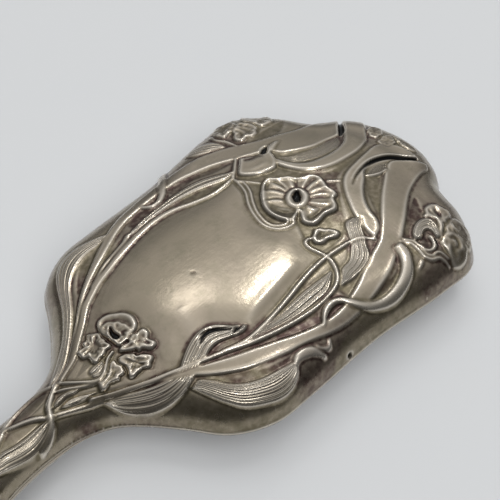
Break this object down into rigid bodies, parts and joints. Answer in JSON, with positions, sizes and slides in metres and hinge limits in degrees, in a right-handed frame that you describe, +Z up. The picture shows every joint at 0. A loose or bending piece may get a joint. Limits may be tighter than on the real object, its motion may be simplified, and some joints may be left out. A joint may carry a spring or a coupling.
{
  "type": "vanity hairbrush",
  "caption": "Vanity hairbrush with a stamped silver back and handle over a wooden stock, drawn with tufts of bristle for brushing hair.",
  "frame": {"origin": "tip of the tuft in the middle of the head, on the surface that the brush rests on", "axes": "+X along the brush towards the tip of the head, with the handle towards -X; +Z up, from the bristle tips to the ornamented back; +Y across the head; Y = 0 is the plane of symmetry"},
  "size_m": [0.2318, 0.084, 0.023],
  "materials": {
    "silver": "satin",
    "pin_silver": "satin",
    "dark_wood": "satin",
    "pale_wood": "matte",
    "pitch": "matte",
    "bristle": "matte"
  },
  "bodies": {
    "root": {"silver_back": "silver", "handle_underside": "silver", "rim_pin_01": "pin_silver", "rim_pin_02": "pin_silver", "rim_pin_03": "pin_silver", "rim_pin_04": "pin_silver", "rim_pin_05": "pin_silver", "rim_pin_06": "pin_silver", "rim_pin_07": "pin_silver", "rim_pin_08": "pin_silver", "bristle_board": "dark_wood", "cover_board": "pale_wood", "handle_core": "pale_wood", "head_filler": "pitch", "bristle_row_01": "bristle", "bristle_row_02": "bristle", "bristle_row_03": "bristle", "bristle_row_04": "bristle", "bristle_row_05": "bristle", "bristle_row_06": "bristle", "bristle_row_07": "bristle", "bristle_row_08": "bristle", "bristle_row_09": "bristle", "bristle_row_10": "bristle", "bristle_row_11": "bristle"}
  },
  "joints": []
}
